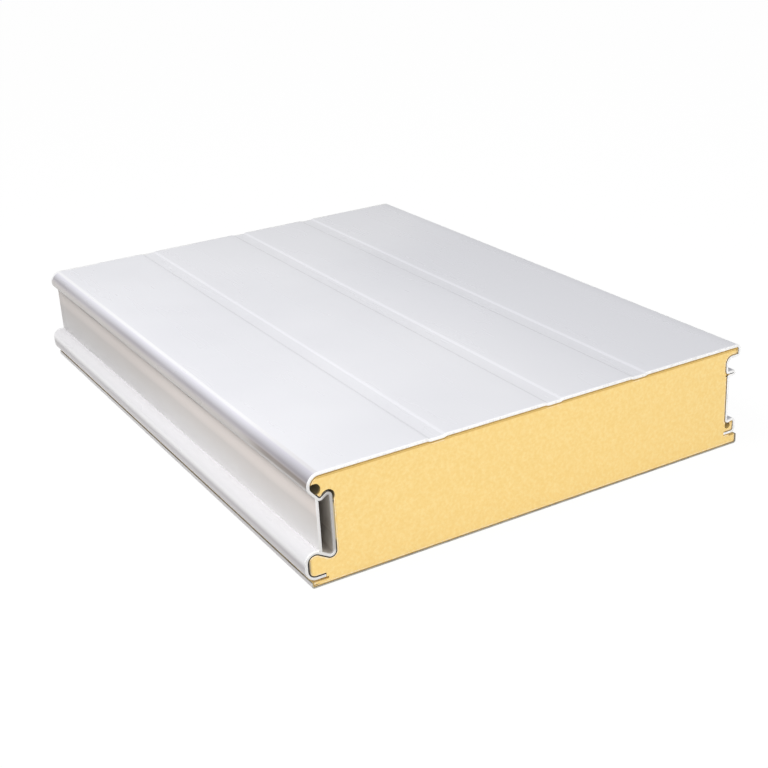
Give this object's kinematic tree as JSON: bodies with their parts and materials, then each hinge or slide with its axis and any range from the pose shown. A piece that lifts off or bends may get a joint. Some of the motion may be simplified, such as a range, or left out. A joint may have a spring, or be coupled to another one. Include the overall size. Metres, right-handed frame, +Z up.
{
  "type": "insulated sandwich panel",
  "caption": "Flat insulated wall panel: painted steel sheets bonded to a rigid foam core, with roll-formed edges for jointing.",
  "frame": {"origin": "centre of the underside, on the surface the panel lies on", "axes": "+Z up through the thickness, Y along the panel's grooves and rolled edges, +X across the panel towards the edge with the folded shelf"},
  "size_m": [0.457, 0.635, 0.1],
  "materials": {
    "white_painted_steel": "smooth satin white coil coating",
    "backing_steel": "satin pale grey backing coat",
    "rigid_foam": "sawn rigid polyurethane foam, fine cells, matt",
    "strip_paint": "satin off-white coating"
  },
  "bodies": {
    "root": {"top_sheet": "white_painted_steel", "bottom_sheet": "backing_steel", "foam_core": "rigid_foam", "closing_strip": "strip_paint"}
  },
  "joints": []
}
